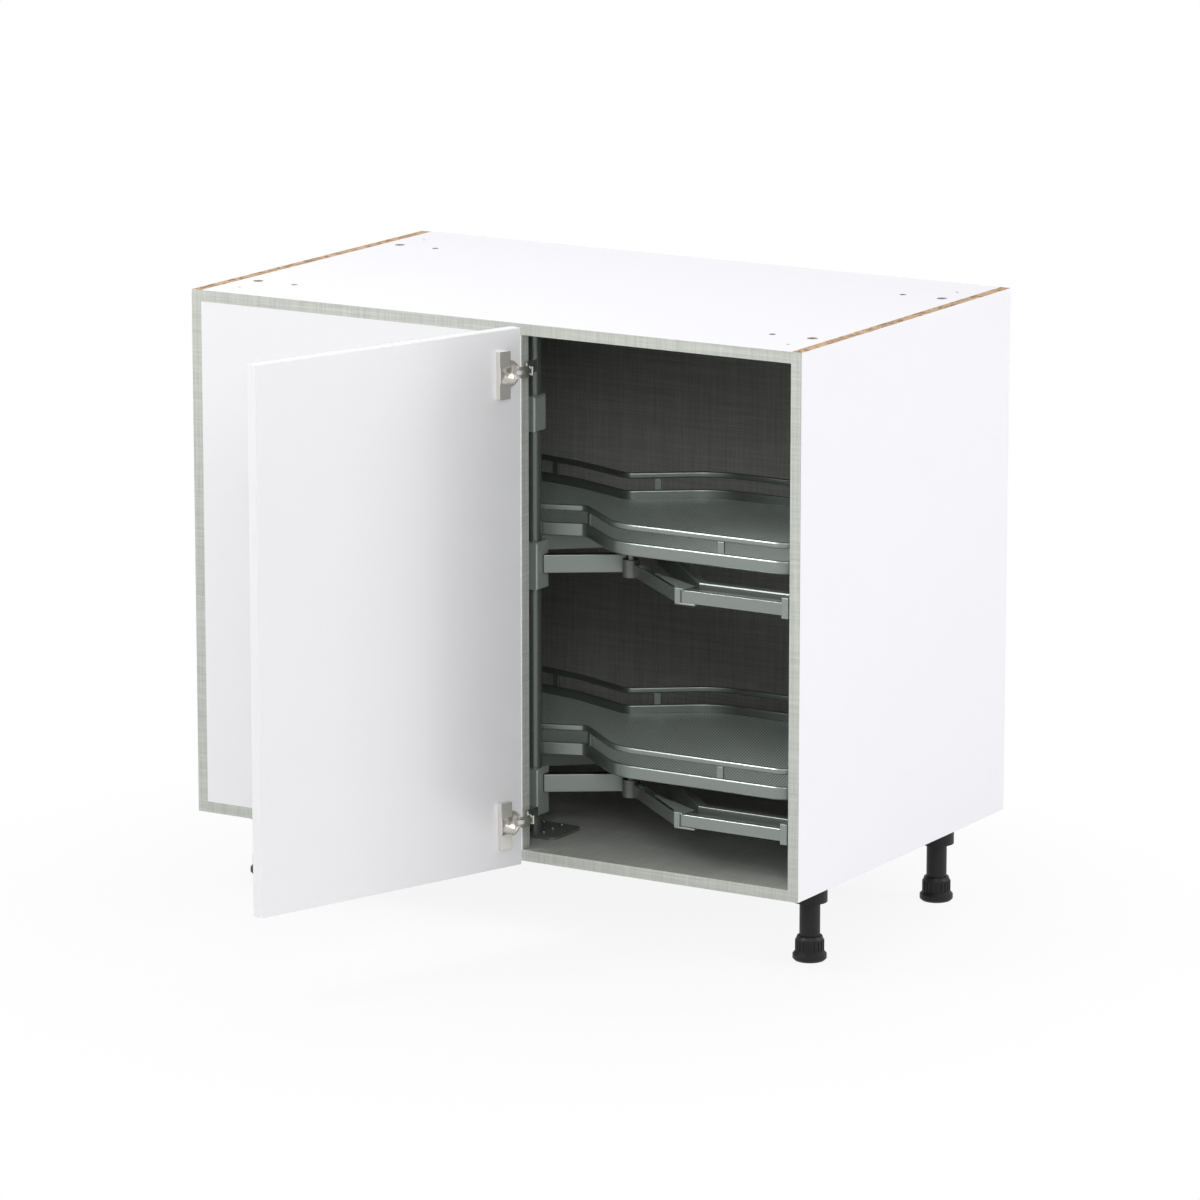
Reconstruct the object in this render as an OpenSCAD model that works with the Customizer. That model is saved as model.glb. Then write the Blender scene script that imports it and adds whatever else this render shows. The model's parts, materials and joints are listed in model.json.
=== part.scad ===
// Blind corner base cabinet with two swing-out kidney trays.
// Millimetres, +Z up, cabinet front towards -Y, origin on the floor under the middle of the
// overall box that the cabinet and its open door take up.

/* [Carcass] */
// Overall width over the side panels
carcass_w = 990; // [900:5:1200]
// Depth of the side panels
carcass_d = 606; // [590:2:680]
// Height of the side panels, without the legs
carcass_h = 762; // [740:2:820]
// Thickness of the carcass boards
board_t = 16; // [15:0.5:19]
// Thickness of the back panel
back_t = 8; // [3:1:10]
// Distance of the back panel from the rear edge
back_setback = 8; // [6:1:20]
// Depth of the groove that holds the back panel
groove_deep = 6; // [4:1:8]
// Thickness of the edge banding
band_t = 1; // [0.6:0.2:2]

/* [Blind panel] */
// Width of the fixed panel that closes the blind side
blind_w = 533.5; // [500:0.5:560]
// Thickness of the fixed panel
blind_t = 18; // [16:1:19]

/* [Door] */
// Overlap of the closed door on the blind panel
door_lap = 13.5; // [10:0.5:16]
// Thickness of the door
door_t = 18; // [18:1:22]
// Gap between the closed door and the carcass
door_gap = 2; // [1.5:0.5:3]
// Reveal between the door edge and the outer carcass edge
door_reveal = 2; // [1:0.5:4]
// Reveal above and below the door
door_reveal_z = 1.5; // [1:0.5:4]
// Angle at which the door stands open
door_open = 109.2; // [60:0.2:109.2]
// Height of the lower hinge above the carcass bottom, and of the upper one below its top
hinge_inset = 63; // [55:1:120]
// Diameter of the hinge cup
cup_d = 35; // [35:1:35]
// Wood left between the hinge cup and the door edge
cup_edge = 3; // [3:0.5:3.5]
// Depth of the hinge cup
cup_deep = 13; // [12.5:0.1:13.5]

/* [Legs] */
// Height from the floor to the carcass
leg_h = 114; // [100:1:150]
// Distance of the left legs from the left side
leg_inset_left = 38; // [35:1:80]
// Distance of the right legs from the right side
leg_inset_right = 46; // [35:1:80]
// Distance of the legs from the front and rear edges
leg_inset_y = 117; // [60:1:160]
// Diameter of the leg tube
leg_tube_d = 29; // [26:1:34]
// Diameter of the leg flange
leg_flange_d = 49; // [44:1:60]
// Diameter of the ribbed grip collar
grip_d = 40.8; // [38:0.2:46]
// Diameter of the foot pad
foot_d = 47.8; // [42:0.2:56]

/* [Swing pole] */
// Diameter of the pole
pole_d = 22; // [18:1:26]
// Distance of the pole behind the hidden end of the blind panel, along X
pole_behind_edge = 33.5; // [30:0.5:40]
// Distance of the pole from the front edge of the carcass
pole_y = 85; // [80:1:95]

/* [Trays] */
// Underside of the upper tray above the carcass bottom
tray_z = 444; // [400:1:480]
// Distance between the two trays
tray_pitch = 316; // [290:1:330]
// Gap between the tray and the right side panel
tray_right_gap = 14; // [12:1:40]
// Gap between the tray and the left side panel
tray_left_gap = 46; // [30:1:90]
// Distance of the tray front edge ahead of the pole
tray_front = 43; // [36:1:50]
// Gap between the tray and the back panel
tray_back_gap = 158; // [150:1:200]
// Radius of the front corner of the right lobe
lobe_corner_r = 38; // [20:1:60]
// Width of the tray rim
rim_t = 5; // [3:0.5:8]
// Height of the lower band of the rim
rim_band_h = 19; // [14:1:24]
// Height of the open gap below the rail
rim_gap_h = 17; // [10:1:30]
// Height of the upper rail
rim_rail_h = 9; // [6:1:14]
// Width of the posts that carry the rail
post_w = 10.5; // [6:0.5:16]
// Thickness of the tray floor
tray_floor_t = 6; // [4:1:10]

/* [Carrier] */
// Height of the arm and of the cradle tube
arm_h = 26; // [20:1:30]
// Width of the arm, the cradle tube and the front rail
arm_w = 14; // [10:1:18]
// Gap between the cradle tube and the tray floor
carrier_gap = 24.5; // [18:0.5:30]
// Height of the front rail
rail_bar_h = 17.5; // [14:0.5:22]
// Diameter of the arm hub
hub_d = 24; // [20:1:30]
// Height of the sleeve that turns on the pole
bracket_h = 67; // [60:1:80]

/* [Hidden] */
$fn = 64;

// Running clearance of pins and sleeves, and the gap left between neighbours that only sit close
run_gap = 0.05;
seat_gap = 0.3;

// Inner limits of the carcass
inner_left = board_t;
inner_right = carcass_w - board_t;
blind_edge = board_t + blind_w;
back_front = carcass_d - back_setback - back_t;

// Cam joints and dowels between the side panels and the top and bottom
cam_d = 15;
cam_deep = 12.5;
cam_in = 26.5;
cam_bolt_d = 7;
cam_ys = [106, carcass_d - 127.5];
low_cam_ys = [70, carcass_d - 70];
dowel_d = 8;
dowel_side = 11;
dowel_end = 20;
dowel_ys = [170, carcass_d - 190];
blind_dowel_xs = [80, blind_w - 60];
blind_dowel_deep = 10;
top_hole_x = 48.5;
top_hole_ys = [49, carcass_d - 71];
top_hole_d = 5;
worktop_hole_x = 104.5;
worktop_hole_d = 10;

// Door in its closed place and the point about which it swings from closed to open
door_edge = blind_edge - door_lap;
door_w = carcass_w - door_reveal - door_edge;
door_h = carcass_h - 2 * door_reveal_z;
pivot = [door_edge + 5.2, -door_gap - door_t - 0.2];

// Hinge pins: one in the cup, one on the arm, both found from the closed and the open door
cup_u = cup_edge + cup_d / 2;
cup_wall = 0.8;
cup_floor_t = 0.8;
cup_pin_uv = [6.5, 4];
arm_pin_reach = 32;
hinge_pin_d = 2;
cup_pin_len = 2 * sqrt(pow(cup_d / 2, 2) - pow(cup_u - cup_pin_uv.x, 2)) - 1;
hinge_zs = [hinge_inset, carcass_h - hinge_inset];
function turn(v, a) = [v.x * cos(a) - v.y * sin(a), v.x * sin(a) + v.y * cos(a)];
function closed_pt(u, v) = [door_edge + u, -door_gap - v];
function open_pt(u, v) = pivot + turn(closed_pt(u, v) - pivot, -door_open);
cup_pin_closed = closed_pt(cup_pin_uv.x, cup_pin_uv.y);
cup_pin_open = open_pt(cup_pin_uv.x, cup_pin_uv.y);
pin_mid = (cup_pin_closed + cup_pin_open) / 2 - pivot;
arm_pin = pivot + arm_pin_reach * pin_mid / norm(pin_mid);
door_reach = -open_pt(door_w, 0).y;

// Legs
leg_xs = [leg_inset_left, carcass_w - leg_inset_right];
leg_ys = [leg_inset_y, carcass_d - leg_inset_y];
socket_h = 30;
foot_h = 14;
grip_h = 21;
grip_ribs = 20;
stem_d = 16;
stem_up = 45;
grip_lap = 11;

// Pole and what turns on it
pole_x = blind_edge - pole_behind_edge;
pole_top = carcass_h - board_t;
stop_drop = 99;
stop_h = 50;

// Reach of the trays from the pole: what the sides leave free, and what clears them while swinging
swing_gap_back = 51;
swing_gap_right = 97;
lobe_right = inner_right - pole_x - tray_right_gap;
lobe_left = min(pole_x - inner_left - tray_left_gap, back_front - pole_y - swing_gap_back);
tray_back = min(back_front - pole_y - tray_back_gap, lobe_right - swing_gap_right);
plate_t = 4;
sleeve_w = 27;
sleeve_d = 36;
arm_angle = 33.6;
arm_len = 134;
hub = [132, 44];
hub_h = 25;
lower_sleeve_drop = 9.5;
arm_z = tray_z - carrier_gap - arm_h;
rail_z = arm_z + 2.5;
front_rail_y = -66.5;
front_rail_start = [142.7, 44];
front_rail_bend = [lobe_right - 170, front_rail_y];
front_rail_run = (front_rail_bend - front_rail_start) / norm(front_rail_bend - front_rail_start);
rail_end = lobe_right - 4;
cradle_y = -35.5;
cradle_bend = [lobe_right - 149, cradle_y];
cradle_apex = [41, tray_back - 120];
cradle_left = [186 - lobe_left, cradle_y];
cradle_tip = [64 - lobe_left, cradle_y];
clip_t = 11;
clip_lug = 60;
cap_t = 3;
spacer_d = 16;
tube_wall = 1.5;

// Tray outline round the pole: corner points, each with the radius of its rounding
waist_back = [-9, tray_back - 77, 16];
notch = [63, 37, 12];
tray_pts = [[lobe_right, -tray_front, lobe_corner_r],
            [lobe_right - 18, tray_back - 192, 300],
            [lobe_right - 120, tray_back - 1, 150],
            [98, tray_back + 1, 110],
            waist_back,
            [-116, tray_back - 35, 350],
            [128 - lobe_left, tray_back + 5, 150],
            [13 - lobe_left, 0.59 * tray_back, 180],
            [-lobe_left, 0.1 * tray_back, 200],
            [18 - lobe_left, -tray_front, 60],
            [-121, -tray_front, 60],
            [-61, -8, 40],
            notch,
            [notch.x + 93, -tray_front, 80]];
// Most of a side's length that the roundings at its two ends may take up
side_fill = 0.995;
// Posts: side of the outline, counted from the front right corner, and the place along it
tray_posts = [[13, 0.59], [12, 0.08], [3, 0.67], [5, 0.195], [1, 0.2], [2, 0.45], [6, 0.5],
              [8, 0.4], [9, 0.45], [11, 0.3]];

// Unit vector along the side that starts at corner i, and its inward normal
function corner(i) = tray_pts[(i + len(tray_pts)) % len(tray_pts)];
function flat(p) = [p.x, p.y];
function along(i) = (flat(corner(i + 1)) - flat(corner(i))) / norm(flat(corner(i + 1)) - flat(corner(i)));
function inward(i) = [-along(i).y, along(i).x];
// Corner i moved in by a distance, where the two moved sides meet
function turn_at(i) = asin(along(i - 1).x * along(i).y - along(i - 1).y * along(i).x);
function moved(i, inset) =
    let (n0 = inward(i - 1), n1 = inward(i))
    flat(corner(i)) + inset * (n0 + n1) / (1 + n0 * n1);
// Length that the rounding at corner i takes from a side, and the share of it that side i has room for
function taken(i) = corner(i).z * tan(abs(turn_at(i)) / 2);
function room(i) =
    min(1, side_fill * norm(flat(corner(i + 1)) - flat(corner(i))) / (taken(i) + taken(i + 1)));
// Round stretch at corner i of the outline moved in by a distance; short sides limit its radius
function rounded(i, inset) =
    let (bend = turn_at(i),
         radius = corner(i).z * min(room(i - 1), room(i)),
         r = bend > 0 ? radius - inset : radius + inset,
         tangent = r * tan(abs(bend) / 2),
         start = moved(i, inset) - tangent * along(i - 1),
         side = bend > 0 ? 1 : -1,
         centre = start + side * r * inward(i - 1),
         steps = max(2, ceil(abs(bend) / 5)))
    [for (k = [0 : steps]) centre + turn(start - centre, bend * k / steps)];
function outline(inset) = [for (i = [0 : len(tray_pts) - 1]) for (p = rounded(i, inset)) p];

// Cabinet frame: X from the left side, Y from the front edge, Z from the carcass bottom
module in_cabinet() {
    translate([-carcass_w / 2, (door_reach - carcass_d) / 2, leg_h]) children();
}

// Frame of the trays: round the pole, Z from the carcass bottom
module at_pole() {
    in_cabinet() translate([pole_x, pole_y, 0]) children();
}

// Frame of the door standing open: u from the hinge edge, v into the door, w up
module on_open_door() {
    in_cabinet() translate([pivot.x, pivot.y, 0]) rotate(-door_open)
        translate([door_edge - pivot.x, -door_gap - pivot.y, 0]) mirror([0, 1, 0]) children();
}

// Straight strip between two points, and a strip with mitred bends through several
module strip(p, q, w) {
    translate(p) rotate(atan2(q.y - p.y, q.x - p.x)) translate([0, -w / 2])
        square([norm(q - p), w]);
}
function run_of(pts, i) =
    let (k = max(0, min(i, len(pts) - 2)))
    (pts[k + 1] - pts[k]) / norm(pts[k + 1] - pts[k]);
function side_of(v) = [-v.y, v.x];
function edge_pt(pts, i, off) =
    let (n0 = side_of(run_of(pts, i - 1)), n1 = side_of(run_of(pts, i)))
    pts[i] + off * (n0 + n1) / (1 + n0 * n1);
module bent_strip(pts, w) {
    last = len(pts) - 1;
    polygon(concat([for (i = [0 : last]) edge_pt(pts, i, w / 2)],
                   [for (i = [0 : last]) edge_pt(pts, last - i, -w / 2)]));
}

// Bores in a side panel: cam bolts and dowels, from the inner face
module side_bores() {
    for (z = [board_t / 2, carcass_h - board_t / 2]) {
        for (y = z > board_t ? cam_ys : low_cam_ys) translate([0, y, z]) rotate([0, 90, 0])
            cylinder(d = cam_bolt_d, h = 2 * dowel_side, center = true);
        for (y = dowel_ys) translate([0, y, z]) rotate([0, 90, 0])
            cylinder(d = dowel_d, h = 2 * dowel_side, center = true);
    }
}
module side_panel(x, inner) {
    color("white") in_cabinet() difference() {
        translate([x, band_t, 0]) cube([board_t, carcass_d - band_t, carcass_h]);
        translate([inner, 0, 0]) side_bores();
        translate([inner - groove_deep, back_front, board_t - groove_deep])
            cube([2 * groove_deep, back_t, carcass_h - 2 * board_t + 2 * groove_deep]);
    }
}
module side_panel_left() {
    side_panel(0, inner_left);
}
module side_panel_right() {
    side_panel(inner_right, inner_right);
}

// Bores that the top and bottom panels share; face is the side on which the cams sit
module shelf_bores(z0, cam_face) {
    for (side = [0, 1]) {
        x_end = side == 0 ? inner_left : inner_right;
        dir = side == 0 ? 1 : -1;
        for (y = cam_face > 0 ? cam_ys : low_cam_ys) {
            cam_z = cam_face > 0 ? z0 + board_t - cam_deep : z0 - 1;
            translate([x_end + dir * cam_in, y, cam_z]) cylinder(d = cam_d, h = cam_deep + 1);
            translate([x_end + dir * cam_in / 2, y, z0 + board_t / 2]) rotate([0, 90, 0])
                cylinder(d = cam_bolt_d + 1, h = cam_in + 0.02, center = true);
        }
        for (y = dowel_ys) translate([x_end, y, z0 + board_t / 2]) rotate([0, 90, 0])
            cylinder(d = dowel_d, h = 2 * dowel_end, center = true);
    }
}
module blind_dowel_bores(z) {
    for (x = blind_dowel_xs) translate([board_t + x, blind_t / 2, z])
        cylinder(d = dowel_d, h = 2 * blind_dowel_deep, center = true);
}
module shelf_board(z0) {
    translate([inner_left, band_t, z0]) cube([inner_right - inner_left, carcass_d - band_t, board_t]);
}
module top_panel() {
    z0 = carcass_h - board_t;
    color("white") in_cabinet() difference() {
        shelf_board(z0);
        shelf_bores(z0, 1);
        blind_dowel_bores(z0);
        translate([inner_left - 1, back_front, z0 - 1])
            cube([inner_right - inner_left + 2, back_t, groove_deep + 1]);
        for (x = [top_hole_x, carcass_w - top_hole_x], y = top_hole_ys)
            translate([x, y, z0 - 1]) cylinder(d = top_hole_d, h = board_t + 2);
        for (x = [worktop_hole_x, carcass_w - worktop_hole_x], y = cam_ys)
            translate([x, y, z0 - 1]) cylinder(d = worktop_hole_d, h = board_t + 2);
        at_board_screws(z0 - 1, board_t / 2 + 1);
    }
}
module bottom_panel() {
    color("gainsboro") in_cabinet() difference() {
        shelf_board(0);
        shelf_bores(0, -1);
        blind_dowel_bores(board_t);
        translate([inner_left - 1, back_front, board_t - groove_deep])
            cube([inner_right - inner_left + 2, back_t, groove_deep + 1]);
        at_board_screws(board_t / 2, board_t);
        leg_screw_places() translate([0, 0, -1]) cylinder(d = leg_screw_d, h = leg_screw_len);
    }
}
module back_panel() {
    color("dimgray") in_cabinet()
        translate([inner_left - groove_deep, back_front, board_t - groove_deep])
            cube([inner_right - inner_left + 2 * groove_deep, back_t,
                  carcass_h - 2 * board_t + 2 * groove_deep]);
}
module blind_panel() {
    color("white") in_cabinet() difference() {
        translate([board_t, 0, board_t]) cube([blind_w - band_t, blind_t, carcass_h - 2 * board_t]);
        for (z = [board_t, carcass_h - board_t], x = blind_dowel_xs)
            translate([board_t + x, blind_t / 2, z]) cylinder(d = dowel_d, h = 2 * dowel_end, center = true);
        for (z = hinge_zs) plate_screw_places(z) rotate([90, 0, 0]) translate([0, 0, -1])
            cylinder(d = plate_screw_d, h = plate_screw_len + 1);
    }
}
module edge_bands() {
    color("silver") in_cabinet() {
        for (x = [0, inner_right]) translate([x, 0, 0]) cube([board_t, band_t, carcass_h]);
        translate([blind_edge, 0, 0]) cube([inner_right - blind_edge, band_t, board_t]);
        translate([inner_left, 0, carcass_h - board_t]) cube([inner_right - inner_left, band_t, board_t]);
        translate([inner_left, 0, 0]) cube([blind_edge - inner_left, band_t, board_t]);
        translate([blind_edge - band_t, 0, board_t]) cube([band_t, blind_t, carcass_h - 2 * board_t]);
    }
}

// Cam discs lie in the top face of the top panel and in the lower face of the bottom panel
module cam_places() {
    for (top = [0, 1], side = [0, 1], y = top == 1 ? cam_ys : low_cam_ys) {
        x = side == 0 ? inner_left + cam_in : inner_right - cam_in;
        z = top == 1 ? carcass_h - board_t / 2 : board_t / 2;
        translate([x, y, z]) rotate(side == 0 ? 0 : 180) rotate([top == 1 ? 0 : 180, 0, 0]) children();
    }
}
module cam_discs() {
    up = board_t / 2 - cam_deep;
    color("slategray") in_cabinet() cam_places() difference() {
        translate([0, 0, up]) cylinder(d = cam_d - 0.2, h = cam_deep - 0.5);
        translate([-cam_d, -cam_bolt_d / 2, -cam_bolt_d / 2]) cube([cam_d + 2, cam_bolt_d, cam_bolt_d]);
        for (a = [0, 90]) rotate(a) translate([-4, -0.7, board_t / 2 - 3]) cube([8, 1.4, 4]);
    }
}
module cam_bolts() {
    color("silver") in_cabinet() cam_places() rotate([0, -90, 0]) {
        translate([0, 0, 2]) cylinder(d = 4, h = cam_in - 2.02);
        translate([0, 0, -1]) cylinder(d = cam_bolt_d - 0.4, h = 3);
        translate([0, 0, cam_in]) cylinder(d = cam_bolt_d, h = dowel_side - 1);
        translate([0, 0, cam_in - 2.5]) cylinder(d = cam_bolt_d, h = 2.5);
    }
}
module wood_dowels() {
    color("burlywood") in_cabinet() {
        for (z = [board_t / 2, carcass_h - board_t / 2], y = dowel_ys) {
            translate([inner_left - dowel_side + 0.5, y, z]) rotate([0, 90, 0])
                cylinder(d = dowel_d, h = dowel_side + dowel_end - 1);
            translate([inner_right + dowel_side - 0.5, y, z]) rotate([0, -90, 0])
                cylinder(d = dowel_d, h = dowel_side + dowel_end - 1);
        }
        for (x = blind_dowel_xs) {
            translate([board_t + x, blind_t / 2, board_t - blind_dowel_deep + 0.5])
                cylinder(d = dowel_d, h = blind_dowel_deep + dowel_end - 1);
            translate([board_t + x, blind_t / 2, carcass_h - board_t - dowel_end + 0.5])
                cylinder(d = dowel_d, h = blind_dowel_deep + dowel_end - 1);
        }
    }
}

// Legs: a socket screwed under the carcass, a tube in it, and a foot that turns up and down
leg_screw_d = 4;
leg_screw_len = 12;
leg_screw_r = leg_flange_d / 2 - 5;
module leg_places() {
    for (x = leg_xs, y = leg_ys) translate([x, y, 0]) children();
}
module leg_screw_places() {
    leg_places() for (a = [45 : 90 : 315]) rotate(a) translate([leg_screw_r, 0, 0]) children();
}
module leg_sockets() {
    color("black") in_cabinet() leg_places() difference() {
        translate([0, 0, -socket_h]) cylinder(d = leg_flange_d, h = socket_h);
        translate([0, 0, -socket_h - 1]) cylinder(d = leg_tube_d, h = socket_h - 4);
        for (a = [45 : 90 : 315]) rotate(a) translate([leg_screw_r, 0, 0]) {
            translate([0, 0, -5]) cylinder(d = leg_screw_d, h = 6);
            translate([0, 0, -socket_h - 1]) cylinder(d = 8, h = socket_h - 4);
        }
    }
}
module leg_screws() {
    color("silver") in_cabinet() leg_screw_places() {
        translate([0, 0, -5]) cylinder(d = leg_screw_d, h = leg_screw_len + 3);
        translate([0, 0, -7.5]) cylinder(d = 7, h = 2.5);
    }
}
module leg_tubes() {
    grip_top = -leg_h + foot_h + grip_h;
    color("black") in_cabinet() leg_places() difference() {
        translate([0, 0, grip_top - grip_lap]) cylinder(d = leg_tube_d, h = grip_lap - 5 - grip_top);
        translate([0, 0, grip_top - grip_lap - 1])
            cylinder(d = stem_d + 2 * run_gap, h = grip_lap - 14 - grip_top);
    }
}
module foot_at(x, y) {
    color("black") in_cabinet() translate([x, y, -leg_h]) {
        rotate_extrude() polygon([[0, 0], [foot_d / 2 - 3, 0], [foot_d / 2, 3], [foot_d / 2, foot_h - 5],
            [foot_d / 2 - 4, foot_h], [stem_d / 2, foot_h], [stem_d / 2, foot_h + stem_up],
            [0, foot_h + stem_up]]);
        difference() {
            union() {
                translate([0, 0, foot_h]) cylinder(d = grip_d - 2, h = grip_h - 5);
                translate([0, 0, foot_h + grip_h - 5]) cylinder(d1 = grip_d - 2, d2 = leg_tube_d + 6, h = 5);
                for (k = [0 : grip_ribs - 1]) rotate(k * 360 / grip_ribs)
                    translate([grip_d / 2 - 2, -1.2, foot_h + 1]) cube([2, 2.4, grip_h - 7]);
            }
            translate([0, 0, foot_h - 1]) cylinder(d = stem_d, h = grip_h + 2);
            translate([0, 0, foot_h + 2]) cylinder(d = leg_tube_d + 2 * run_gap, h = grip_h);
        }
    }
}
module foot_front_left() {
    foot_at(leg_xs[0], leg_ys[0]);
}
module foot_front_right() {
    foot_at(leg_xs[1], leg_ys[0]);
}
module foot_back_left() {
    foot_at(leg_xs[0], leg_ys[1]);
}
module foot_back_right() {
    foot_at(leg_xs[1], leg_ys[1]);
}

// Door, drawn standing open
cup_screw_d = 3.5;
cup_flange_t = 1.2;
cover_u = cup_u + 2.5;
cover_w = 19;
cover_h = 67;
cover_out = 8;
cover_wall = 0.8;
cover_gap_h = 24;
damper_d = 4.4;
module cup_screw_places() {
    for (w = [-24, 24]) translate([cup_u + 11, 0, w]) rotate([-90, 0, 0]) children();
}
module door_panel() {
    color("white") on_open_door() difference() {
        translate([0, 0, door_reveal_z]) cube([door_w, door_t, door_h]);
        for (z = hinge_zs) translate([0, 0, z]) {
            translate([cup_u, -1, 0]) rotate([-90, 0, 0]) cylinder(d = cup_d, h = cup_deep + 1);
            cup_screw_places() cylinder(d = cup_screw_d, h = 11);
        }
    }
}
module hinge_cups() {
    cavity_r = cup_d / 2 - cup_wall;
    color("silver") on_open_door() for (z = hinge_zs) translate([0, 0, z]) difference() {
        union() {
            translate([cup_u, 0, 0]) rotate([-90, 0, 0]) cylinder(d = cup_d, h = cup_deep);
            translate([cup_u, -cup_flange_t, 0]) rotate([-90, 0, 0]) cylinder(d = cup_d + 3, h = cup_flange_t);
            translate([cover_u + 1, -cup_flange_t, 1 - cover_h / 2]) cube([cover_w - 2, cup_flange_t, cover_h - 2]);
        }
        translate([cup_u, -2, 0]) rotate([-90, 0, 0]) cylinder(r = cavity_r, h = cup_deep - cup_floor_t + 2);
        translate([-1, -2, -8.8]) cube([cup_u, 4.5, 17.6]);
        translate([cup_pin_uv.x, cup_pin_uv.y, 0])
            cylinder(d = hinge_pin_d, h = cup_pin_len + 1, center = true);
        cup_screw_places() translate([0, 0, -2]) cylinder(d = cup_screw_d, h = 4);
    }
}
// Caps over the cup screws, joined by a side wall, with the damper barrel in the gap between them
module hinge_covers() {
    inner_w = cover_w - 2 * cover_wall;
    color("silver") on_open_door() for (z = hinge_zs) translate([0, 0, z]) {
        difference() {
            translate([cover_u, -cover_out, -cover_h / 2]) cube([cover_w, cover_out, cover_h]);
            translate([cover_u + cover_wall, cover_wall - cover_out, cover_wall - cover_h / 2])
                cube([inner_w, cover_out, cover_h - 2 * cover_wall]);
            translate([cover_u - 1, -cover_out - 1, -cover_gap_h / 2])
                cube([cover_w - cover_wall + 1, cover_out + 2, cover_gap_h]);
            translate([cup_u, -cup_flange_t - 0.2, 0]) rotate([-90, 0, 0])
                cylinder(d = cup_d + 3.6, h = 2 * cup_flange_t);
        }
        translate([cover_u + cover_w - cover_wall - damper_d / 2 - run_gap, -cover_out / 2 - 0.4, 0])
            cylinder(d = damper_d, h = cover_gap_h + 14, center = true);
    }
}
module hinge_cup_screws() {
    color("silver") on_open_door() for (z = hinge_zs) translate([0, 0, z]) cup_screw_places() {
        translate([0, 0, -1.2]) cylinder(d = cup_screw_d, h = 11.2);
        translate([0, 0, -3]) cylinder(d = 7, h = 1.8);
    }
}
module hinge_cup_pins() {
    color("silver") on_open_door() for (z = hinge_zs) translate([0, 0, z]) intersection() {
        translate([cup_pin_uv.x, cup_pin_uv.y, 0]) cylinder(d = hinge_pin_d, h = cup_pin_len, center = true);
        translate([cup_u, 0, 0]) rotate([-90, 0, 0]) cylinder(d = cup_d - 0.2, h = cup_deep);
    }
}

// Link from the arm pin to the cup pin, drawn with the door open
link_eye_h = 6;
link_t = 2.4;
link_cover_h = 16;
module hinge_links() {
    neck = [open_pt(7, -1.9), open_pt(3, -3.7), open_pt(-8, -4.4)];
    color("silver") in_cabinet() for (z = hinge_zs) translate([0, 0, z]) difference() {
        union() {
            translate([0, 0, -link_eye_h / 2]) linear_extrude(link_eye_h) {
                bent_strip([cup_pin_open, neck[0], neck[1], neck[2], arm_pin], link_t);
                translate(cup_pin_open) circle(d = 3.8);
                translate(arm_pin) circle(d = 5);
            }
            translate([0, 0, -link_cover_h / 2]) linear_extrude(link_cover_h)
                bent_strip([neck[1], neck[2], neck[2] + 0.4 * (arm_pin - neck[2])], link_t);
        }
        for (p = [cup_pin_open, arm_pin]) translate([p.x, p.y, 0])
            cylinder(d = hinge_pin_d + 2 * run_gap, h = link_eye_h + 2, center = true);
    }
}

// Arm and plate on the back of the blind panel
hinge_arm_h = 17;
plate_screw_d = 4;
plate_screw_len = 12;
module plate_screw_places(z) {
    for (w = [-16, 16]) translate([blind_edge - 22, blind_t, z + w]) children();
}
module hinge_arms() {
    root = [blind_edge + 2.7, blind_t + 16];
    bend = [[root.x, 6], [root.x + 3.8, 2.2]];
    color("silver") in_cabinet() for (z = hinge_zs) translate([0, 0, z]) difference() {
        union() {
            translate([0, 0, -hinge_arm_h / 2]) linear_extrude(hinge_arm_h) {
                bent_strip([root, bend[0], bend[1]], link_t);
                strip([blind_edge - 34, blind_t + 9.5], [root.x + link_t / 2, blind_t + 9.5], 13);
            }
            for (s = [-1, 1]) translate([0, 0, s * (link_eye_h / 2 + 1.6)])
                linear_extrude(2.8, center = true) {
                bent_strip([bend[0], bend[1], arm_pin], link_t);
                translate(arm_pin) circle(d = 5);
            }
        }
        translate([arm_pin.x, arm_pin.y, 0]) cylinder(d = hinge_pin_d, h = 20, center = true);
    }
}
module hinge_arm_pins() {
    color("silver") in_cabinet() for (z = hinge_zs) translate([arm_pin.x, arm_pin.y, z])
        cylinder(d = hinge_pin_d, h = link_eye_h + 6, center = true);
}
module hinge_plates() {
    color("silver") in_cabinet() for (z = hinge_zs) translate([0, 0, z]) difference() {
        translate([blind_edge - 38, blind_t, -24]) cube([34, 3, 48]);
        for (w = [-16, 16]) translate([blind_edge - 22, blind_t - 1, w]) rotate([-90, 0, 0])
            cylinder(d = plate_screw_d, h = 6);
    }
}
module hinge_plate_screws() {
    color("silver") in_cabinet() for (z = hinge_zs) plate_screw_places(z) rotate([90, 0, 0]) {
        translate([0, 0, -3]) cylinder(d = plate_screw_d, h = plate_screw_len + 2);
        translate([0, 0, -5]) cylinder(d = 7.5, h = 2);
    }
}

// Pole with its plates
plate_y0 = -22;
plate_y1 = 56;
plate_w = 92;
plate_r = 12;
board_screw_d = 4;
board_screw_head = [7, 1.8];
board_screw_x = pole_d / 2 + 4;
board_screw_ys = [0, plate_y1 - 31, plate_y1 - 6];
module at_board_screws(z, h) {
    translate([pole_x, pole_y, z]) for (s = [-1, 1], y = board_screw_ys)
        translate([s * board_screw_x, y, 0]) cylinder(d = board_screw_d, h = h);
}
module plate_shape() {
    for (x = [-1, 1], y = [plate_y0 + plate_r, plate_y1 - plate_r])
        translate([x * (plate_w / 2 - plate_r), y]) circle(r = plate_r);
    translate([-plate_w / 2, plate_y0 + plate_r]) square([plate_w, plate_y1 - plate_y0 - 2 * plate_r]);
    translate([plate_r - plate_w / 2, plate_y0]) square([plate_w - 2 * plate_r, plate_y1 - plate_y0]);
}
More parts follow.
